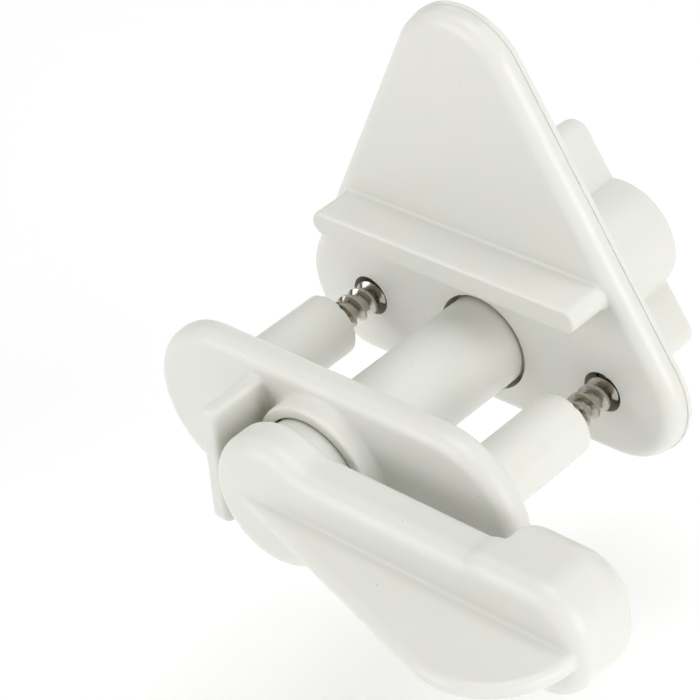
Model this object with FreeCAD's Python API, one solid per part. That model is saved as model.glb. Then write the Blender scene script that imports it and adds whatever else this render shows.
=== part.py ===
import FreeCAD, Part

import math
import os

# Stair gate latch, in millimetres.
# X runs along the front plate, Y from the lever side towards the knob side, Z up.
# The origin is on the spindle axis, in the face of the front plate that rests on the gate.

# Overall layout
screw_spacing = 50.0            # between the two plate screws
gate_gap = 32.6                 # between the two plates, with the screws part way in
clamp_travel = 9.2              # how far the screws can still draw the back plate in

# Front plate
front_plate_half_length = 38.2
front_plate_half_height = 14.8
front_plate_thickness = 4.9
front_plate_edge_radius = 2.6
boss_radius = 5.65
boss_clearance = 0.5            # between a boss and the back plate, screws right in
boss_end_radius = 0.5
boss_root_radius = 1.0
sleeve_wall = 2.1
collar_radius = 11.8
collar_wall = 2.0
collar_height = 3.45
collar_edge_radius = 0.45
spring_pocket_depth = 2.2       # how far the collar's hollow goes into the plate
stop_rib_thickness = 3.2
stop_rib_top = 11.2             # above the spindle axis
stop_rib_bottom = -10.4
stop_rib_projection = 11.2      # at its top
stop_rib_slant = 1.4            # how much further it stands out at its bottom
stop_rib_corner_radius = 2.0
stop_rib_edge_radius = 0.9
stop_rib_clearance = 0.3       # between the rib and the lever's hub

# Back plate
back_plate_thickness = 4.8
back_plate_apex_height = 48.2   # centre of the top corner, above the spindle axis
back_plate_apex_radius = 12.9
back_plate_corner_offset = 1.5  # how far beyond the screw each lower corner's centre lies
back_plate_corner_radius = 12.8
back_plate_edge_radius = 2.6
back_plate_lip_thickness = 1.1  # band along the rear edge, behind the mould's parting line
back_plate_lip_step = 0.25
back_plate_lip_radius = 0.4
sleeve_hole_clearance = 0.8     # round the sleeve, so that the plate can rock
ledge_bottom = 16.5
ledge_thickness = 4.3
ledge_projection = 8.0
ledge_half_length = 27.7
ledge_end_radius = 2.1
ledge_edge_radius = 0.6
ledge_root_radius = 0.6

# Plate screws
screw_core_radius = 1.85
screw_thread_radius = 2.75
screw_thread_pitch = 2.5
screw_tip_radius = 0.25
screw_tip_clearance = 0.4       # between the tip and the bore's floor, screws right in
screw_point_length = 4.0
screw_neck_length = 0.4
screw_head_radius = 5.0
screw_head_cone = 2.9
screw_head_rim = 0.5
screw_cross_width = 1.3
screw_cross_depth = 2.0
screw_cross_half_length = 3.1
screw_hole_clearance = 0.9      # round the thread, where it passes through the back plate
screw_seat_clearance = 0.08     # between the screw's head and its countersink
screw_bore_clearance = 0.06     # round the thread, inside the boss
screw_bore_floor = 2.2          # left between the blind bore and the plate's outer face
thread_root_share = 0.62        # a thread's width at the core, as a share of its pitch
thread_crest_share = 0.18
thread_sink = 0.15              # how far a thread's ridge starts inside the core
cross_floor_share = 0.35        # a cross recess's length at its floor, as a share of the mouth's
cross_floor_width_share = 0.5

# Spindle
spindle_radius = 5.9
spindle_clearance = 0.06
spindle_square = 8.0
spindle_tenon_chamfer = 0.4
lever_tenon_length = 5.2

# Lever
hub_radius = 11.8
push_travel = 2.2               # how far the lever can be pushed towards the plate
push_stop_gap = 0.6             # left between the collar and the lever, lever pushed in
lever_thickness = 8.05
lever_edge_radius = 3.2
lever_back_edge_radius = 2.0
hub_blend_radius = 8.0          # where the hub runs into the arm
arm_half_height = 9.4
lever_droop = 0.9               # the arm's lean below level, in degrees
hook_start = 43.5
hook_swell = 0.9                # how much further the hook reaches up and down than the arm
hook_swell_start = 40.5
hook_swell_root_radius = 0.8
hook_swell_radius = 7.0
hook_end = 62.4
hook_corner_radius = 8.8
hook_side_edge_radius = 1.2     # where the hook's sides turn towards the arm
hook_depth = 15.0               # from the lever's face to the back of the hook
hook_back_edge_radius = 5.0
fin_start = -5.7
fin_thickness = 3.0
fin_centre = 46.9
fin_radius = 14.7
fin_edge_radius = 1.4

# Knob
knob_radius = 10.6
knob_length = 31.9
knob_gap = 1.5                  # between the back plate and the knob, screws part way in
knob_seat_gap = 0.1             # between the sleeve's end and the knob
knob_wing_half_length = 22.0
knob_wing_thickness = 6.8
knob_wing_angle = 29.5          # the wing's lean from upright, in degrees
knob_wing_corner_radius = 3.0
knob_edge_radius = 0.8
knob_recess_radius = 5.2
knob_recess_depth = 9.0
knob_web = 3.2                  # between the recess and the spindle's socket
knob_tenon_clearance = 0.3      # past the end of the spindle

# Knob screw and its washer
knob_screw_thread_radius = 1.75
knob_screw_core_radius = 1.2
knob_screw_pitch = 1.3
knob_screw_length = 14.0
knob_screw_head_radius = 3.4
knob_screw_head_height = 2.2
knob_screw_head_edge_radius = 1.0
knob_screw_cross_width = 1.0
knob_screw_cross_depth = 1.4
knob_screw_cross_half_length = 2.0
washer_radius = 4.6
washer_thickness = 0.8
washer_clearance = 0.25

# Return spring and the cup that carries it to the lever
spring_wire_radius = 0.6
spring_turns = 3.0
spring_side_clearance = 0.5      # between the coils and the spindle
spring_end_clearance = 0.05
cup_thickness = 1.1
cup_wall = 1.0
cup_spindle_clearance = 0.2
cup_pocket_clearance = 0.3      # between the cup and the collar round it
cup_floor_clearance = 0.4       # under the cup's rim, lever pushed in
cup_lever_gap = 0.05
cup_edge_radius = 0.4

# Places that follow from the sizes
half_spacing = screw_spacing / 2
plate_front = -front_plate_thickness
collar_front = plate_front - collar_height
hub_back = collar_front - push_travel - push_stop_gap
lever_face = hub_back - lever_thickness
hook_back = lever_face + hook_depth
back_plate_front = gate_gap
back_plate_rear = gate_gap + back_plate_thickness
boss_length = gate_gap - clamp_travel - boss_clearance
bore_floor = plate_front + screw_bore_floor
screw_tip = bore_floor + screw_tip_clearance + clamp_travel
knob_front = back_plate_rear + knob_gap
knob_rear = knob_front + knob_length
sleeve_end = knob_front - knob_seat_gap
sleeve_bore = spindle_radius + spindle_clearance
sleeve_radius = sleeve_bore + sleeve_wall
pocket_floor = plate_front + spring_pocket_depth
pocket_radius = collar_radius - collar_wall
cup_front = hub_back + cup_lever_gap
cup_inside = cup_front + cup_thickness
cup_rim = pocket_floor - cup_floor_clearance - push_travel
recess_floor = knob_rear - knob_recess_depth
socket_end = recess_floor - knob_web
knob_tenon_end = socket_end - knob_tenon_clearance
hook_top = arm_half_height + hook_swell
overrun = 1.0                   # how far a cutter runs past the face that it opens
same = 1e-4                     # places closer than this are one place

along_y = FreeCAD.Vector(0, 1, 0)


def cylinder(radius, start, end, x=0.0, z=0.0):
    """A round bar along Y, from start to end."""
    return Part.makeCylinder(radius, end - start, FreeCAD.Vector(x, start, z), along_y)


def cone(radius_start, radius_end, start, end, x=0.0, z=0.0):
    return Part.makeCone(radius_start, radius_end, end - start, FreeCAD.Vector(x, start, z), along_y)


def box(x_range, y_range, z_range):
    size = [high - low for low, high in (x_range, y_range, z_range)]
    corner = FreeCAD.Vector(x_range[0], y_range[0], z_range[0])
    return Part.makeBox(size[0], size[1], size[2], corner)


def hull_of_circles(circles, start, end):
    """A plate whose outline wraps circles (x, z, radius), listed clockwise as seen along +Y."""
    following = circles[1:] + circles[:1]
    normals = []
    for (x0, z0, r0), (x1, z1, r1) in zip(circles, following):
        heading = math.atan2(z1 - z0, x1 - x0)
        normals.append(heading + math.acos((r0 - r1) / math.hypot(x1 - x0, z1 - z0)))

    def rim_point(circle, angle):
        x, z, radius = circle
        return FreeCAD.Vector(x + radius * math.cos(angle), start, z + radius * math.sin(angle))

    edges = []
    for circle, reached, normal, next_normal in zip(circles, following, normals, normals[1:] + normals[:1]):
        arrive = rim_point(reached, normal)
        middle = normal - (normal - next_normal) % (2 * math.pi) / 2
        edges.append(Part.LineSegment(rim_point(circle, normal), arrive).toShape())
        edges.append(Part.Arc(arrive, rim_point(reached, middle), rim_point(reached, next_normal)).toShape())
    outline = Part.Face(Part.Wire(edges))
    return outline.extrude(FreeCAD.Vector(0, end - start, 0))


def edges_at(shape, y):
    """The edges of a shape that lie wholly in the plane at y."""
    found = []
    for edge in shape.Edges:
        bounds = edge.BoundBox
        if abs(bounds.YMin - y) < same and abs(bounds.YMax - y) < same:
            found.append(edge)
    return found


def fillet_at(shape, y, radius):
    return shape.makeFillet(radius, edges_at(shape, y))


def thread(core_radius, thread_radius, pitch, start, end):
    """A coarse V thread along Y, to be joined to its core."""
    root_half = pitch * thread_root_share / 2
    crest_half = pitch * thread_crest_share / 2
    helix = Part.makeHelix(pitch, end - start, core_radius)
    root = core_radius - thread_sink
    profile = Part.makePolygon([
        FreeCAD.Vector(root, 0, -root_half),
        FreeCAD.Vector(thread_radius, 0, -crest_half),
        FreeCAD.Vector(thread_radius, 0, crest_half),
        FreeCAD.Vector(root, 0, root_half),
        FreeCAD.Vector(root, 0, -root_half),
    ])
    ridge = Part.Wire(helix).makePipeShell([profile], True, True)
    ridge.rotate(FreeCAD.Vector(0, 0, 0), FreeCAD.Vector(1, 0, 0), -90)
    ridge.translate(FreeCAD.Vector(0, start, 0))
    return ridge


def cross_recess(rear, depth, width, half_length):
    """The cutter of a cross recess whose mouth is at rear, facing +Y."""
    thin = width / 2 * cross_floor_width_share
    short = half_length * cross_floor_share
    blades = []
    for angle in (0, 90):
        wide = Part.makePolygon([
            FreeCAD.Vector(-half_length, rear + overrun, -width / 2),
            FreeCAD.Vector(half_length, rear + overrun, -width / 2),
            FreeCAD.Vector(half_length, rear + overrun, width / 2),
            FreeCAD.Vector(-half_length, rear + overrun, width / 2),
            FreeCAD.Vector(-half_length, rear + overrun, -width / 2),
        ])
        deep = Part.makePolygon([
            FreeCAD.Vector(-short, rear - depth, -thin),
            FreeCAD.Vector(short, rear - depth, -thin),
            FreeCAD.Vector(short, rear - depth, thin),
            FreeCAD.Vector(-short, rear - depth, thin),
            FreeCAD.Vector(-short, rear - depth, -thin),
        ])
        blade = Part.makeLoft([deep, wide], True)
        blade.rotate(FreeCAD.Vector(0, 0, 0), along_y, angle)
        blades.append(blade)
    return blades[0].fuse(blades[1])


def front_plate():
    end_x = front_plate_half_length - front_plate_half_height
    ends = [(-end_x, 0, front_plate_half_height), (end_x, 0, front_plate_half_height)]
    plate = hull_of_circles(ends, plate_front, 0)
    plate = fillet_at(plate, plate_front, front_plate_edge_radius)
    for x in (-half_spacing, half_spacing):
        boss = cylinder(boss_radius, -overrun, boss_length, x)
        boss = fillet_at(boss, boss_length, boss_end_radius)
        plate = plate.fuse(boss)
    roots = [edge for edge in edges_at(plate, 0) if edge.BoundBox.XLength < 3 * boss_radius]
    plate = plate.makeFillet(boss_root_radius, roots)
    plate = plate.fuse(cylinder(sleeve_radius, -overrun, sleeve_end))
    collar = cylinder(collar_radius, collar_front, plate_front + overrun)
    collar = fillet_at(collar, collar_front, collar_edge_radius)
    plate = plate.fuse(collar)
    plate = plate.fuse(stop_rib())
    plate = plate.cut(cylinder(pocket_radius, collar_front - overrun, pocket_floor))
    plate = plate.cut(cylinder(sleeve_bore, collar_front - overrun, sleeve_end + overrun))
    bore_radius = screw_thread_radius + screw_bore_clearance
    for x in (-half_spacing, half_spacing):
        plate = plate.cut(cylinder(bore_radius, bore_floor, boss_length + overrun, x))
    return plate.removeSplitter()


def stop_rib():
    """The upright rib beside the hub, which stands out a little further at its rounded lower end."""
    right = -(hub_radius + stop_rib_clearance)
    left = right - stop_rib_thickness
    root = plate_front + overrun
    top_front = plate_front - stop_rib_projection
    bottom_front = top_front - stop_rib_slant
    outline = Part.makePolygon([
        FreeCAD.Vector(left, root, stop_rib_top),
        FreeCAD.Vector(left, top_front, stop_rib_top),
        FreeCAD.Vector(left, bottom_front, stop_rib_bottom),
        FreeCAD.Vector(left, root, stop_rib_bottom),
        FreeCAD.Vector(left, root, stop_rib_top),
    ])
    rib = Part.Face(outline).extrude(FreeCAD.Vector(stop_rib_thickness, 0, 0))
    rib = fillet_at(rib, bottom_front, stop_rib_corner_radius)
    sharp = [edge for edge in rib.Edges
             if edge.BoundBox.YMax < root - same or edge.BoundBox.YLength > overrun + same]
    return rib.makeFillet(stop_rib_edge_radius, sharp)


def back_plate():
    corner_x = half_spacing + back_plate_corner_offset
    circles = [
        (-corner_x, 0, back_plate_corner_radius),
        (0, back_plate_apex_height, back_plate_apex_radius),
        (corner_x, 0, back_plate_corner_radius),
    ]
    lip_front = back_plate_rear - back_plate_lip_thickness
    inner = [(x, z, radius - back_plate_lip_step) for x, z, radius in circles]
    body = hull_of_circles(inner, back_plate_front, back_plate_rear)
    body = fillet_at(body, back_plate_front, back_plate_edge_radius)
    lip = hull_of_circles(circles, lip_front, back_plate_rear)
    lip = fillet_at(lip, back_plate_rear, back_plate_lip_radius)
    plate = body.fuse(lip)
    ledge_top = ledge_bottom + ledge_thickness
    ledge = box((-ledge_half_length, ledge_half_length),
                (back_plate_front - ledge_projection, back_plate_front + overrun),
                (ledge_bottom, ledge_top))
    ends = [edge for edge in ledge.Edges if edge.BoundBox.YLength > ledge_projection - same]
    ledge = ledge.makeFillet(ledge_end_radius, ends)
    ledge = fillet_at(ledge, back_plate_front - ledge_projection, ledge_edge_radius)
    plate = plate.fuse(ledge)
    roots = [edge for edge in edges_at(plate, back_plate_front)
             if ledge_bottom - same < edge.BoundBox.ZMin and edge.BoundBox.ZMax < ledge_top + same]
    plate = plate.makeFillet(ledge_root_radius, roots)
    sleeve_hole = cylinder(sleeve_radius + sleeve_hole_clearance, back_plate_front - overrun,
                           back_plate_rear + overrun)
    plate = plate.cut(sleeve_hole)
    hole_radius = screw_thread_radius + screw_hole_clearance
    seat_radius = screw_head_radius + screw_seat_clearance
    cone_end = back_plate_rear - screw_head_rim
    cone_start = cone_end - screw_head_cone
    core_seat = screw_core_radius + screw_seat_clearance
    for x in (-half_spacing, half_spacing):
        plate = plate.cut(cylinder(hole_radius, back_plate_front - overrun, back_plate_rear, x))
        plate = plate.cut(cone(core_seat, seat_radius, cone_start, cone_end, x))
        plate = plate.cut(cylinder(seat_radius, cone_end, back_plate_rear + overrun, x))
    return plate.removeSplitter()


def plate_screw(x):
    rim_start = back_plate_rear - screw_head_rim
    head_base = rim_start - screw_head_cone
    point_start = screw_tip + screw_point_length
    thread_end = head_base - screw_neck_length
    core = cylinder(screw_core_radius, point_start, head_base + screw_head_cone / 2)
    point = cone(screw_tip_radius, screw_core_radius, screw_tip, point_start)
    head = cone(screw_core_radius, screw_head_radius, head_base, rim_start)
    rim = cylinder(screw_head_radius, rim_start, back_plate_rear)
    ridge = thread(screw_core_radius, screw_thread_radius, screw_thread_pitch, point_start, thread_end)
    screw = core.fuse([point, head, rim])
    screw = screw.fuse(ridge)
    screw = screw.cut(cross_recess(back_plate_rear, screw_cross_depth, screw_cross_width,
                                   screw_cross_half_length))
    screw.translate(FreeCAD.Vector(x, 0, 0))
    return screw


def pulled(upper, lower_joint, start, end):
    """A solid along Y with an outline of runs, each a line's two points or an arc's three.

    The upper runs go from left to right. They are mirrored below, and lower_joint closes the left side.
    """
    lower = [[(x, -z) for x, z in reversed(run)] for run in reversed(upper)]
    tip = [upper[-1][-1], lower[0][0]]
    edges = []
    for run in [lower_joint] + upper + [tip] + lower:
        points = [FreeCAD.Vector(x, start, z) for x, z in run]
        curve = Part.Arc(*points) if len(points) == 3 else Part.LineSegment(*points)
        edges.append(curve.toShape())
    return Part.Face(Part.Wire(edges)).extrude(FreeCAD.Vector(0, end - start, 0))


def hook_runs(first):
    """The hook's upper side, from a first point on its straight top to the end of its rounded corner."""
    corner_x = hook_end - hook_corner_radius
    corner_z = hook_top - hook_corner_radius
    diagonal = hook_corner_radius * math.sqrt(0.5)
    return [
        [first, (corner_x, hook_top)],
        [(corner_x, hook_top), (corner_x + diagonal, corner_z + diagonal), (hook_end, corner_z)],
    ]


def swell_runs():
    """The small hollow arc and the larger round one by which the arm's upper side rises to the hook's."""
    radii = hook_swell_root_radius + hook_swell_radius
    turn = math.acos(1 - hook_swell / radii)
    end = hook_swell_start + radii * math.sin(turn)

    def hollow(angle):
        return (hook_swell_start + hook_swell_root_radius * math.sin(angle),
                arm_half_height + hook_swell_root_radius * (1 - math.cos(angle)))

    def rounded(angle):
        return (end - hook_swell_radius * math.sin(angle),
                hook_top - hook_swell_radius * (1 - math.cos(angle)))

    return [
        [hollow(0), hollow(turn / 2), hollow(turn)],
        [hollow(turn), rounded(turn / 2), rounded(0)],
    ]


def lever_body():
    """The hub, the arm and the front of the hook, as one plate."""
    blend_z = arm_half_height + hub_blend_radius
    blend_x = math.sqrt((hub_radius + hub_blend_radius) ** 2 - blend_z ** 2)
    heading = math.atan2(blend_z, blend_x)
    middle = (heading + math.pi / 2) / 2
    touch = (hub_radius * math.cos(heading), hub_radius * math.sin(heading))
    blend = (blend_x - hub_blend_radius * math.cos(middle), blend_z - hub_blend_radius * math.sin(middle))
    arm_start = (blend_x, arm_half_height)
    swell = swell_runs()
    upper = [[touch, blend, arm_start], [arm_start, swell[0][0]]] + swell + hook_runs(swell[-1][-1])
    hub = [(touch[0], -touch[1]), (-hub_radius, 0), touch]
    body = pulled(upper, hub, lever_face, hub_back)
    body = fillet_at(body, lever_face, lever_edge_radius)
    return fillet_at(body, hub_back, lever_back_edge_radius)


def hook():
    """The deep block behind the lever's end."""
    top = (hook_start, hook_top)
    block = pulled(hook_runs(top), [(hook_start, -hook_top), top], lever_face + lever_edge_radius, hook_back)
    sides = [edge for edge in block.Edges
             if abs(edge.BoundBox.XMax - hook_start) < same and edge.BoundBox.YLength > same]
    block = block.makeFillet(hook_side_edge_radius, sides)
    return fillet_at(block, hook_back, hook_back_edge_radius)


def lever():
    body = lever_body().fuse(hook()).fuse(fin())
    body.rotate(FreeCAD.Vector(0, 0, 0), along_y, lever_droop)
    half = spindle_square / 2
    socket = box((-half, half), (hub_back - lever_tenon_length, hub_back + overrun), (-half, half))
    return body.cut(socket).removeSplitter()


def fin():
    """A thumb grip that rises in a straight line from the hub and rounds down over the hook."""
    reach = fin_centre - fin_start
    lean = math.asin(fin_radius / reach)
    half = fin_thickness / 2
    sink = lever_face + lever_edge_radius
    tip = FreeCAD.Vector(fin_start, lever_face, -half)
    touch = FreeCAD.Vector(fin_centre - fin_radius * math.sin(lean),
                           lever_face - fin_radius * math.cos(lean), -half)
    middle = math.pi / 4 - lean / 2
    crown = FreeCAD.Vector(fin_centre + fin_radius * math.sin(middle),
                           lever_face - fin_radius * math.cos(middle), -half)
    heel = FreeCAD.Vector(fin_centre + fin_radius, lever_face, -half)
    heel_base = FreeCAD.Vector(fin_centre + fin_radius - lever_edge_radius, sink, -half)
    tip_base = FreeCAD.Vector(fin_start + lever_edge_radius, sink, -half)
    outline = Part.Wire([
        Part.LineSegment(tip, touch).toShape(),
        Part.Arc(touch, crown, heel).toShape(),
        Part.LineSegment(heel, heel_base).toShape(),
        Part.LineSegment(heel_base, tip_base).toShape(),
        Part.LineSegment(tip_base, tip).toShape(),
    ])
    blade = Part.Face(outline).extrude(FreeCAD.Vector(0, 0, fin_thickness))
    rim = [edge for edge in blade.Edges
           if edge.BoundBox.YMin < lever_face - same and edge.BoundBox.ZLength < same]
    return blade.makeFillet(fin_edge_radius, rim)


def spindle():
    journal = cylinder(spindle_radius, hub_back, knob_front)
    half = spindle_square / 2
    front_end = box((-half, half), (hub_back - lever_tenon_length, hub_back), (-half, half))
    rear_end = box((-half, half), (knob_front, knob_tenon_end), (-half, half))
    rear_end = rear_end.makeChamfer(spindle_tenon_chamfer, edges_at(rear_end, knob_tenon_end))
    shaft = journal.fuse([front_end, rear_end])
    hole_start = recess_floor - knob_screw_length - overrun
    pilot = cylinder(knob_screw_thread_radius, hole_start, knob_tenon_end + overrun)
    return shaft.cut(pilot)


def knob():
    barrel = cylinder(knob_radius, knob_front, knob_rear)
    half = knob_wing_thickness / 2
    wing = box((-half, half), (knob_front, knob_rear), (-knob_wing_half_length, knob_wing_half_length))
    long_corners = [edge for edge in wing.Edges if edge.BoundBox.YLength > knob_length - same]
    wing = wing.makeFillet(knob_wing_corner_radius, long_corners)
    wing.rotate(FreeCAD.Vector(0, 0, 0), along_y, -knob_wing_angle)
    body = barrel.fuse(wing).removeSplitter()
    body = fillet_at(body, knob_rear, knob_edge_radius)
    socket_half = spindle_square / 2
    body = body.cut(box((-socket_half, socket_half), (knob_front - overrun, socket_end),
                        (-socket_half, socket_half)))
    body = body.cut(cylinder(knob_recess_radius, recess_floor, knob_rear + overrun))
    passage = knob_screw_thread_radius + washer_clearance
    body = body.cut(cylinder(passage, socket_end - overrun, recess_floor + overrun))
    return body


def knob_washer():
    ring = cylinder(washer_radius, recess_floor, recess_floor + washer_thickness)
    hole = knob_screw_thread_radius + washer_clearance
    return ring.cut(cylinder(hole, recess_floor - overrun, recess_floor + washer_thickness + overrun))


def knob_screw():
    seat = recess_floor + washer_thickness
    tip = recess_floor - knob_screw_length + washer_thickness
    head = cylinder(knob_screw_head_radius, seat, seat + knob_screw_head_height)
    head = fillet_at(head, seat + knob_screw_head_height, knob_screw_head_edge_radius)
    core = cylinder(knob_screw_core_radius, tip, seat)
    ridge = thread(knob_screw_core_radius, knob_screw_thread_radius, knob_screw_pitch,
                   tip + knob_screw_pitch / 2, seat - knob_screw_pitch)
    screw = core.fuse(head).fuse(ridge)
    return screw.cut(cross_recess(seat + knob_screw_head_height, knob_screw_cross_depth,
                                  knob_screw_cross_width, knob_screw_cross_half_length))


def return_spring():
    coil_radius = spindle_radius + spring_side_clearance + spring_wire_radius
    start = pocket_floor - spring_end_clearance - spring_wire_radius
    end = cup_inside + spring_end_clearance + spring_wire_radius
    height = start - end
    helix = Part.makeHelix(height / spring_turns, height, coil_radius)
    section = Part.Wire(Part.makeCircle(spring_wire_radius, FreeCAD.Vector(coil_radius, 0, 0), along_y))
    wire = Part.Wire(helix).makePipeShell([section], True, True)
    wire.rotate(FreeCAD.Vector(0, 0, 0), FreeCAD.Vector(1, 0, 0), -90)
    wire.translate(FreeCAD.Vector(0, end, 0))
    return wire


def spring_cup():
    radius = pocket_radius - cup_pocket_clearance
    cup = cylinder(radius, cup_front, cup_rim)
    cup = fillet_at(cup, cup_front, cup_edge_radius)
    cup = cup.cut(cylinder(radius - cup_wall, cup_inside, cup_rim + overrun))
    hole_radius = spindle_radius + cup_spindle_clearance
    return cup.cut(cylinder(hole_radius, cup_front - overrun, cup_inside + overrun))


def build():
    return {
        "front_plate": front_plate(),
        "back_plate": back_plate(),
        "left_plate_screw": plate_screw(-half_spacing),
        "right_plate_screw": plate_screw(half_spacing),
        "lever": lever(),
        "spindle": spindle(),
        "knob": knob(),
        "knob_washer": knob_washer(),
        "knob_screw": knob_screw(),
        "return_spring": return_spring(),
        "spring_cup": spring_cup(),
    }


os.makedirs("parts", exist_ok=True)
for name, shape in build().items():
    if not shape.isValid() or len(shape.Solids) != 1:
        raise SystemExit(f"{name}: valid {shape.isValid()}, solids {len(shape.Solids)}")
    shape.exportStep(f"parts/{name}.step")
    bounds = shape.BoundBox
    print(f"{name}: volume {shape.Volume:.0f}, X {bounds.XMin:.1f} {bounds.XMax:.1f}, "
          f"Y {bounds.YMin:.1f} {bounds.YMax:.1f}, Z {bounds.ZMin:.1f} {bounds.ZMax:.1f}")
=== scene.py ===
import math

import bmesh
import bpy
import numpy as np
from mathutils import Matrix, Vector
from mathutils.bvhtree import BVHTree
from mathutils.kdtree import KDTree


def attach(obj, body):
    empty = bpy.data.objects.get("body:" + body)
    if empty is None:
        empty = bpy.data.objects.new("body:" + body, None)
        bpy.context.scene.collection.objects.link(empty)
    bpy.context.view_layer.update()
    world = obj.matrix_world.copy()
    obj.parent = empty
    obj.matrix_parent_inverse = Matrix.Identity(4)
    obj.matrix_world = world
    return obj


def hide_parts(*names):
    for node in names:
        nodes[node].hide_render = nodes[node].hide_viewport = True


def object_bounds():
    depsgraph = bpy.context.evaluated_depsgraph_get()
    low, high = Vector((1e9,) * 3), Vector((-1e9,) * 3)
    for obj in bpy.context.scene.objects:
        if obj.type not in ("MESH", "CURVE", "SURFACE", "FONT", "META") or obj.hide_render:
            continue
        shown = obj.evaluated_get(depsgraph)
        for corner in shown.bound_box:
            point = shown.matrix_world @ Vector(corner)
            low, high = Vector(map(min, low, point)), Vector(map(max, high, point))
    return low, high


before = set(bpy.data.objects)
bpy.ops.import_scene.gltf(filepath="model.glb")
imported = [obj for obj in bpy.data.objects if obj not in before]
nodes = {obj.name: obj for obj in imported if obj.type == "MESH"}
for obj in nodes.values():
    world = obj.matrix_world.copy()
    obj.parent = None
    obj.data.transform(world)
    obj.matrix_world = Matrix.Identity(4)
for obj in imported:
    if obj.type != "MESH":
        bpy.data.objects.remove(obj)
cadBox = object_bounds()
mm = 0.001
print("frame loaded:", ", ".join(sorted(nodes)))


class Value:  # a number socket that Python's operators can work on

    def __init__(self, graph, socket):
        self.graph = graph
        self.socket = socket

    def calc(self, operation, first, second=None, clamp=False):
        inputs = {0: first} if second is None else {0: first, 1: second}
        node = self.graph.add("ShaderNodeMath", {"operation": operation, "use_clamp": clamp}, inputs)
        return Value(self.graph, node.outputs[0])

    def __add__(self, other):
        return self.calc("ADD", self, other)

    def __radd__(self, other):
        return self.calc("ADD", other, self)

    def __sub__(self, other):
        return self.calc("SUBTRACT", self, other)

    def __rsub__(self, other):
        return self.calc("SUBTRACT", other, self)

    def __mul__(self, other):
        return self.calc("MULTIPLY", self, other)

    def __rmul__(self, other):
        return self.calc("MULTIPLY", other, self)

    def clamped(self):
        return self.calc("MULTIPLY", self, 1.0, clamp=True)


class Graph:  # one material's nodes

    def __init__(self, name):
        self.material = bpy.data.materials.new(name)
        self.material.use_nodes = True
        self.tree = self.material.node_tree
        self.tree.nodes.clear()
        self.output = self.tree.nodes.new("ShaderNodeOutputMaterial")

    def add(self, kind, settings=None, inputs=None):
        node = self.tree.nodes.new(kind)
        for key, setting in (settings or {}).items():
            if key == "stops":
                ramp = node.color_ramp
                while len(ramp.elements) < len(setting):
                    ramp.elements.new(0.5)
                for element, (place, shade) in zip(ramp.elements, setting):
                    element.position = place
                    element.color = (shade, shade, shade, 1)
            else:
                setattr(node, key, setting)
        for key, given in (inputs or {}).items():
            socket = node.inputs[key]
            if isinstance(given, Value):
                self.tree.links.new(given.socket, socket)
            elif isinstance(given, bpy.types.NodeSocket):
                self.tree.links.new(given, socket)
            else:
                socket.default_value = given
        return node

    def number(self, node, output=0):
        return Value(self, node.outputs[output])

    def place(self):  # the piece's own coordinates, in metres
        return self.add("ShaderNodeTexCoord").outputs["Object"]

    def stretched(self, place, scale):
        return self.add("ShaderNodeVectorMath", {"operation": "MULTIPLY"}, {0: place, 1: scale}).outputs[0]

    def noise(self, place, scale, detail=3.0, roughness=0.5):
        node = self.add("ShaderNodeTexNoise", {"noise_dimensions": "3D"},
                        {"Vector": place, "Scale": scale, "Detail": detail, "Roughness": roughness})
        return self.number(node, "Fac")

    def ramp(self, value, low, high):  # 0 below low, 1 above high
        node = self.add("ShaderNodeMapRange", {"interpolation_type": "SMOOTHSTEP"},
                        {"Value": value, "From Min": low, "From Max": high})
        return self.number(node, "Result")

    def mixed(self, factor, first, second):
        node = self.add("ShaderNodeMix", {"data_type": "RGBA"}, {0: factor, 6: first, 7: second})
        return node.outputs[2]

    def bump(self, height, strength, distance, under=None):
        inputs = {"Height": height, "Strength": strength, "Distance": distance}
        if under is not None:
            inputs["Normal"] = under
        return self.add("ShaderNodeBump", {}, inputs).outputs[0]

    def edges(self, radius):  # about 1 on edges that stand out, 0 on flats
        bevel = self.add("ShaderNodeBevel", {"samples": 6}, {"Radius": radius})
        flat = self.add("ShaderNodeNewGeometry")
        dot = self.add("ShaderNodeVectorMath", {"operation": "DOT_PRODUCT"},
                       {0: bevel.outputs[0], 1: flat.outputs["Normal"]})
        return (1 - self.number(dot, "Value")) * edgeGain

    def hollows(self, distance):  # 1 deep in corners and gaps, 0 in the open; the mask for painted shade
        node = self.add("ShaderNodeAmbientOcclusion", {"samples": 6}, {"Distance": distance})
        return 1 - self.number(node, "AO")

    def finish(self, inputs):
        shader = self.add("ShaderNodeBsdfPrincipled", {}, inputs)
        self.tree.links.new(shader.outputs[0], self.output.inputs["Surface"])
        return self.material


edgeGain = 6.0  # turns the small lean of a bevelled normal into a share from 0 to 1

whitePlastic = {
    "color": (0.740, 0.738, 0.688, 1),
    "coolColor": (0.730, 0.735, 0.700, 1),
    "streakColor": (0.77, 0.762, 0.695, 1),
    # painted shade: the olive tone that corners and gaps take on in shade
    "paintedShadeColor": (0.56, 0.55, 0.44, 1),
    "rubbedColor": (0.79, 0.79, 0.75, 1),
    "speckColor": (0.16, 0.14, 0.11, 1),
    "roughness": 0.36,
    "cloudSize": 14 * mm,
    "streakSize": 5 * mm,
    "rubSize": 2.2 * mm,
    "grainSize": 0.22 * mm,
    "grainHeight": 0.006 * mm,
    "waveSize": 9 * mm,
    "waveHeight": 0.02 * mm,
    "scratchWidth": 0.35 * mm,
    "scratchSpread": 11 * mm,
    "scratchDepth": 0.004 * mm,
    "speckSpacing": 5.5 * mm,
    "speckRadius": 0.13 * mm,
    "edgeRadius": 0.5 * mm,
    "hollowReach": 5 * mm,
    "scatter": 0.22,
    "scatterDepth": 1.1 * mm,
}


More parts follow.
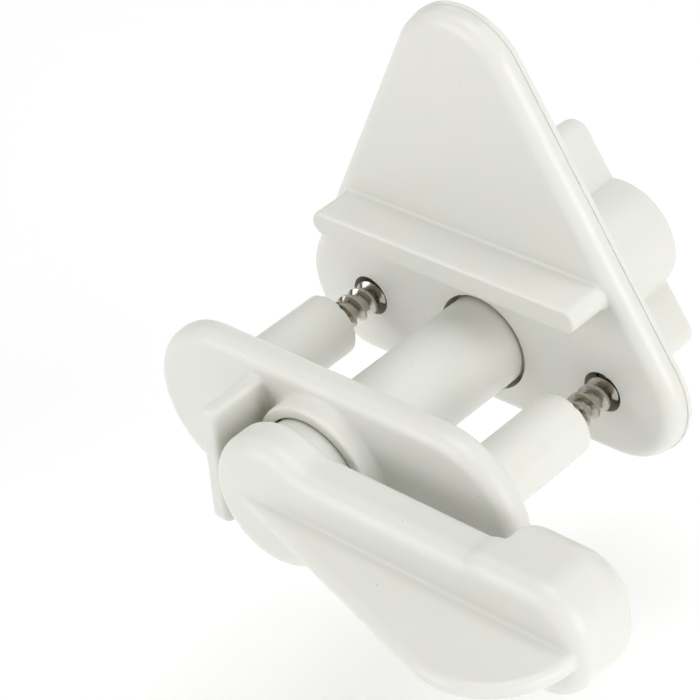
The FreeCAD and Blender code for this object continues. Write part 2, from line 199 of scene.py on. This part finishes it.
def plasticMaterial(name, flow, roughnessShift=0.0):  # flow is how the melt ran, as scales for x, y and z
    graph = Graph(name)
    setup = whitePlastic
    place = graph.place()
    cloud = graph.ramp(graph.noise(place, 1 / setup["cloudSize"], 4.0, 0.55), 0.35, 0.65)
    streaks = graph.noise(graph.stretched(place, flow), 1 / setup["streakSize"], 5.0, 0.6)
    # mask for painted shade in corners and gaps
    hollowShade = graph.ramp(graph.hollows(setup["hollowReach"]), 0.25, 1.0)
    edge = graph.ramp(graph.edges(setup["edgeRadius"]), 0.15, 1.0)
    rub = graph.ramp(graph.noise(place, 1 / setup["rubSize"], 6.0, 0.7), 0.42, 0.62)
    grain = graph.noise(place, 1 / setup["grainSize"], 4.0, 0.65)
    wave = graph.noise(place, 1 / setup["waveSize"], 1.0, 0.4)
    hairs = graph.noise(graph.stretched(place, (1.0, 0.06, 0.35)), 1 / setup["scratchWidth"], 2.0, 0.5)
    worn = graph.ramp(graph.noise(place, 1 / setup["scratchSpread"], 2.0), 0.5, 0.7)
    scratch = graph.ramp(hairs, 0.70, 0.76) * worn
    cell = graph.add("ShaderNodeTexVoronoi", {"feature": "F1", "voronoi_dimensions": "3D"},
                     {"Vector": place, "Scale": 1 / setup["speckSpacing"], "Randomness": 1.0})
    speckSize = setup["speckRadius"] / setup["speckSpacing"]
    speck = 1 - graph.ramp(graph.number(cell, "Distance"), speckSize * 0.5, speckSize)

    color = graph.mixed(cloud * 0.8, setup["color"], setup["coolColor"])
    color = graph.mixed(streaks * 0.10, color, setup["streakColor"])
    # painted shade: corners and gaps darkened and tinted olive by the ambient-occlusion mask
    color = graph.mixed(hollowShade * 0.40, color, setup["paintedShadeColor"])
    color = graph.mixed(edge * (rub * 0.5 + 0.2), color, setup["rubbedColor"])
    color = graph.mixed(speck * 0.7, color, setup["speckColor"])
    roughness = (setup["roughness"] + roughnessShift + (cloud - 0.5) * 0.05 + (grain - 0.5) * 0.10
                 + (streaks - 0.5) * 0.08 + scratch * 0.12 - edge * rub * 0.08 + speck * 0.2).clamped()
    normal = graph.bump(wave, 0.35, setup["waveHeight"])
    normal = graph.bump(grain, 0.5, setup["grainHeight"], normal)
    normal = graph.bump(scratch, 0.35, -setup["scratchDepth"], normal)
    return graph.finish({
        "Base Color": color, "Roughness": roughness, "Normal": normal,
        "IOR": 1.49, "Specular IOR Level": 0.5, "Subsurface Weight": setup["scatter"],
        "Subsurface Radius": (1.0, 0.92, 0.62), "Subsurface Scale": setup["scatterDepth"],
    })


nickel = {
    "color": (0.52, 0.485, 0.43, 1),
    "warmColor": (0.40, 0.355, 0.30, 1),
    # painted shade and painted dark reflection: near-black colour for thread grooves and hollows
    "paintedGrooveShadeColor": (0.045, 0.036, 0.028, 1),
    "rubbedColor": (0.80, 0.78, 0.74, 1),
    "roughness": 0.13,
    "ringSize": 0.09 * mm,
    "patchSize": 1.1 * mm,
    "pitSize": 0.16 * mm,
    "edgeRadius": 0.14 * mm,
    "hollowReach": 1.6 * mm,
}


def nickelMaterial(name):
    graph = Graph(name)
    setup = nickel
    place = graph.place()
    rings = graph.noise(graph.stretched(place, (0.12, 1.0, 0.12)), 1 / setup["ringSize"], 4.0, 0.6)
    patches = graph.ramp(graph.noise(place, 1 / setup["patchSize"], 5.0, 0.62), 0.38, 0.66)
    pits = graph.ramp(graph.noise(place, 1 / setup["pitSize"], 3.0, 0.6), 0.66, 0.74)
    # mask for painted shade in thread grooves and hollows; it also makes them rougher
    hollowShade = graph.ramp(graph.hollows(setup["hollowReach"]), 0.18, 0.62)
    edge = graph.ramp(graph.edges(setup["edgeRadius"]), 0.15, 1.0)
    color = graph.mixed(patches * 0.6, setup["color"], setup["warmColor"])
    # painted shade: thread grooves and hollows darkened nearly to black by the ambient-occlusion mask
    color = graph.mixed(hollowShade * 0.85, color, setup["paintedGrooveShadeColor"])
    color = graph.mixed(edge * (1 - hollowShade * 0.6) * 0.7, color, setup["rubbedColor"])
    roughness = (setup["roughness"] + (rings - 0.5) * 0.14 + patches * 0.08 + pits * 0.2
                 + hollowShade * 0.15).clamped()
    normal = graph.bump(rings, 0.4, 0.008 * mm)
    normal = graph.bump(pits, 0.4, -0.01 * mm, normal)
    return graph.finish({
        "Base Color": color, "Roughness": roughness, "Normal": normal, "Metallic": 1.0,
    })


springSteel = {
    "color": (0.40, 0.40, 0.41, 1),
    "blueColor": (0.28, 0.29, 0.32, 1),
    "roughness": 0.28,
    "drawnSize": 0.05 * mm,
    "patchSize": 1.2 * mm,
}


def springMaterial(name):
    graph = Graph(name)
    setup = springSteel
    place = graph.place()
    drawn = graph.noise(graph.stretched(place, (0.2, 1.0, 0.2)), 1 / setup["drawnSize"], 3.0, 0.6)
    patches = graph.noise(place, 1 / setup["patchSize"], 4.0, 0.6)
    color = graph.mixed(patches, setup["color"], setup["blueColor"])
    roughness = (setup["roughness"] + (drawn - 0.5) * 0.2 + (patches - 0.5) * 0.12).clamped()
    return graph.finish({
        "Base Color": color, "Roughness": roughness, "Metallic": 1.0,
        "Normal": graph.bump(drawn, 0.3, 0.004 * mm),
    })


# the moulded shells have a CAD node's form, with softened inside corners
joinDistance = 0.0005 * mm
shortEdge = 0.0001 * mm
cornerSpacing = 0.2 * mm  # between the points along an inside corner
searchReach = 1.5 * mm
smoothStep = 0.5
firstRounds = 3  # of smoothing, to take the steps out of the remeshed surface
cornerKeep = 1.6  # how fast a shell leaves the CAD surface near a corner


def cadMesh(nodeName):  # a joined-up copy of a CAD node's mesh
    work = bmesh.new()
    work.from_mesh(nodes[nodeName].data)
    bmesh.ops.remove_doubles(work, verts=work.verts, dist=joinDistance)
    bmesh.ops.triangulate(work, faces=work.faces)
    work.normal_update()
    return work


def insideCorners(work, angle, step):  # points along the edges where two faces meet in a hollow corner
    points = []
    for edge in work.edges:
        if len(edge.link_faces) != 2 or edge.calc_length() < shortEdge:
            continue
        turn = edge.calc_face_angle_signed(0.0)
        if turn < -angle:
            first, last = edge.verts[0].co, edge.verts[1].co
            count = max(2, int(math.ceil((last - first).length / step)) + 1)
            for index in range(count):
                points.append(first.lerp(last, index / (count - 1)))
    return points


def smoothed(places, pairs, weights, rounds):  # each point moves towards the middle of its neighbours
    count = len(places)
    ends = np.concatenate([pairs[:, 0], pairs[:, 1]])
    others = np.concatenate([pairs[:, 1], pairs[:, 0]])
    degree = np.bincount(ends, minlength=count).astype(float)
    degree[degree == 0] = 1
    for _ in range(rounds):
        middle = np.stack([np.bincount(ends, places[others, axis], count) for axis in range(3)], 1)
        places = places + (middle / degree[:, None] - places) * weights[:, None]
    return places


def mouldedShell(nodeName, pieceName, body, setup):
    work = cadMesh(nodeName)
    surface = BVHTree.FromBMesh(work)
    corners = insideCorners(work, math.radians(setup["cornerAngle"]), cornerSpacing)
    tree = KDTree(len(corners))
    for index, point in enumerate(corners):
        tree.insert(point, index)
    tree.balance()

    source = bpy.data.meshes.new(pieceName + "Source")
    work.to_mesh(source)
    work.free()
    holder = bpy.data.objects.new(pieceName + "Source", source)
    bpy.context.scene.collection.objects.link(holder)
    remesh = holder.modifiers.new("remesh", "REMESH")
    remesh.mode = "VOXEL"
    remesh.voxel_size = setup["voxel"]
    remesh.use_smooth_shade = True
    bpy.context.view_layer.update()
    mesh = bpy.data.meshes.new_from_object(holder.evaluated_get(bpy.context.evaluated_depsgraph_get()))
    bpy.data.objects.remove(holder)
    bpy.data.meshes.remove(source)

    count = len(mesh.vertices)
    places = np.empty(count * 3)
    mesh.vertices.foreach_get("co", places)
    places = places.reshape(-1, 3)
    pairs = np.empty(len(mesh.edges) * 2, dtype=np.int32)
    mesh.edges.foreach_get("vertices", pairs)
    pairs = pairs.reshape(-1, 2)
    places = smoothed(places, pairs, np.full(count, smoothStep), firstRounds)
    reach = setup["cornerReach"]
    weights = np.zeros(count)
    for index in range(count):
        away = tree.find(places[index])[2] / reach
        weights[index] = 0.0 if away >= 1 else (1 - away) ** 2 * (1 + 2 * away)
    for index in range(count):  # back on the CAD surface everywhere else
        spot = surface.find_nearest(Vector(places[index]), searchReach)[0]
        if spot is not None:
            keep = min(1.0, weights[index] * cornerKeep)
            places[index] = np.array(spot) * (1 - keep) + places[index] * keep
    places = smoothed(places, pairs, weights * smoothStep, setup["rounds"])
    mesh.vertices.foreach_set("co", places.ravel())
    mesh.update()
    mesh.name = pieceName
    for polygon in mesh.polygons:
        polygon.use_smooth = True
    piece = bpy.data.objects.new(pieceName, mesh)
    bpy.context.scene.collection.objects.link(piece)
    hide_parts(nodeName)
    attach(piece, body)
    print(f"{pieceName}: {count} points, {len(corners)} corner points softened")
    return piece


leverShell = {"voxel": 0.27 * mm, "cornerAngle": 20, "cornerReach": 0.8 * mm, "rounds": 8}
frontShell = {"voxel": 0.34 * mm, "cornerAngle": 25, "cornerReach": 0.7 * mm, "rounds": 6}
knobShell = {"voxel": 0.30 * mm, "cornerAngle": 25, "cornerReach": 0.7 * mm, "rounds": 6}

lever = mouldedShell("lever", "leverMoulding", "latch", leverShell)
frontPlate = mouldedShell("front_plate", "frontPlateMoulding", "front", frontShell)
knob = mouldedShell("knob", "knobMoulding", "latch", knobShell)

leverPlastic = plasticMaterial("whitePlasticLever", (0.25, 1.0, 1.0))
platePlastic = plasticMaterial("whitePlasticFrontPlate", (0.3, 1.0, 0.8), 0.01)
backPlastic = plasticMaterial("whitePlasticBackPlate", (0.8, 1.0, 0.3), -0.02)
knobPlastic = plasticMaterial("whitePlasticKnob", (1.0, 0.3, 1.0))
innerPlastic = plasticMaterial("whitePlasticInner", (1.0, 0.4, 1.0), 0.04)
nickelPlate = nickelMaterial("nickelPlate")
springWire = springMaterial("springWire")


def dress(obj, material):
    obj.data.materials.clear()
    obj.data.materials.append(material)


def dressNode(nodeName, material):
    obj = nodes[nodeName]
    if not obj.material_slots:
        obj.data.materials.append(material)
    for slot in obj.material_slots:
        slot.material = material


dress(lever, leverPlastic)
dress(frontPlate, platePlastic)
dress(knob, knobPlastic)
nodeFinishes = {
    "lever": leverPlastic,
    "front_plate": platePlastic,
    "knob": knobPlastic,
    "back_plate": backPlastic,
    "spindle": innerPlastic,
    "spring_cup": innerPlastic,
    "left_plate_screw": nickelPlate,
    "right_plate_screw": nickelPlate,
    "knob_screw": nickelPlate,
    "knob_washer": nickelPlate,
    "return_spring": springWire,
}
for nodeName, material in nodeFinishes.items():
    dressNode(nodeName, material)
print("materials made")

studio = {
    "floorDrop": 45 * mm,
    "floorSize": 6.0,
    "floorColor": (0.93, 0.93, 0.925, 1),
    "mottleColor": (0.92, 0.92, 0.92, 1),
    "floorGlow": 0.12,
    "worldColor": (1.0, 1.0, 1.0, 1),
    "worldStrength": 0.12,
}

lamps = {  # azimuth and elevation as seen from the object, distance, size and power
    "sideRight": {"azimuth": 90, "elevation": 15, "distance": 1.0, "size": 0.8, "power": 6.1},
    "frontLeft": {"azimuth": -30, "elevation": 18, "distance": 1.0, "size": 0.8, "power": 4.6},
    "frontRight": {"azimuth": 30, "elevation": 15, "distance": 1.0, "size": 0.8, "power": 1.2},
    "overhead": {"azimuth": 0, "elevation": 89, "distance": 1.0, "size": 0.8, "power": 4.2},
    "backRight": {"azimuth": 150, "elevation": 50, "distance": 1.0, "size": 0.8, "power": 2.0},
    "backLeft": {"azimuth": -150, "elevation": 15, "distance": 1.0, "size": 0.8, "power": 2.0},
    "left": {"azimuth": -90, "elevation": 35, "distance": 1.0, "size": 0.8, "power": 1.3},
}

view = {
    "azimuth": 47.953,
    "elevation": 35.178,
    "roll": -9.092,
    "distance": 490 * mm,
    "aim": (-14.38 * mm, 16.43 * mm, 2.74 * mm),
    "lens": 154.81,
    "sensor": 36.0,
    "nearest": 20 * mm,
}


def towards(azimuth, elevation):  # azimuth 0 is in front of the object, at -Y, and 90 is at +X
    turn, rise = math.radians(azimuth), math.radians(elevation)
    return Vector((math.sin(turn) * math.cos(rise), -math.cos(turn) * math.cos(rise), math.sin(rise)))


def addFloor():
    low = Vector(cadBox[0])
    work = bmesh.new()
    bmesh.ops.create_grid(work, x_segments=4, y_segments=4, size=studio["floorSize"] / 2)
    mesh = bpy.data.meshes.new("floor")
    work.to_mesh(mesh)
    work.free()
    floor = bpy.data.objects.new("floor", mesh)
    floor.location = (0, 0, low.z - studio["floorDrop"])
    bpy.context.scene.collection.objects.link(floor)
    graph = Graph("paleFloor")
    mottle = graph.noise(graph.place(), 3.0, 2.0)
    color = graph.mixed(mottle, studio["floorColor"], studio["mottleColor"])
    dress(floor, graph.finish({
        "Base Color": color, "Roughness": 0.9,
        "Emission Color": (1, 1, 1, 1), "Emission Strength": studio["floorGlow"],
    }))


def addLamps():
    middle = (Vector(cadBox[0]) + Vector(cadBox[1])) / 2
    for name, setup in lamps.items():
        light = bpy.data.lights.new(name, "AREA")
        light.shape = "DISK"
        light.size = setup["size"]
        light.energy = setup["power"]
        lamp = bpy.data.objects.new(name, light)
        back = towards(setup["azimuth"], setup["elevation"])
        lamp.location = middle + back * setup["distance"]
        lamp.rotation_euler = back.to_track_quat("Z", "Y").to_euler()
        bpy.context.scene.collection.objects.link(lamp)
    world = bpy.data.worlds.new("studioWorld")
    world.use_nodes = True
    background = world.node_tree.nodes["Background"]
    background.inputs["Color"].default_value = studio["worldColor"]
    background.inputs["Strength"].default_value = studio["worldStrength"]
    bpy.context.scene.world = world


def addCamera():
    data = bpy.data.cameras.new("camera")
    data.sensor_width = view["sensor"]
    data.lens = view["lens"]
    data.clip_start = view["nearest"]
    camera = bpy.data.objects.new("camera", data)
    back = towards(view["azimuth"], view["elevation"])
    turn, roll = math.radians(view["azimuth"]), math.radians(view["roll"])
    level = Vector((math.cos(turn), math.sin(turn), 0))
    upright = back.cross(level)
    right = level * math.cos(roll) + upright * math.sin(roll)
    up = back.cross(right)
    spot = Vector(view["aim"]) + back * view["distance"]
    camera.matrix_world = Matrix.Translation(spot) @ Matrix((right, up, back)).transposed().to_4x4()
    bpy.context.scene.collection.objects.link(camera)
    bpy.context.scene.camera = camera


addFloor()
addLamps()
addCamera()
bpy.context.scene.view_settings.view_transform = "Standard"
print("studio ready")
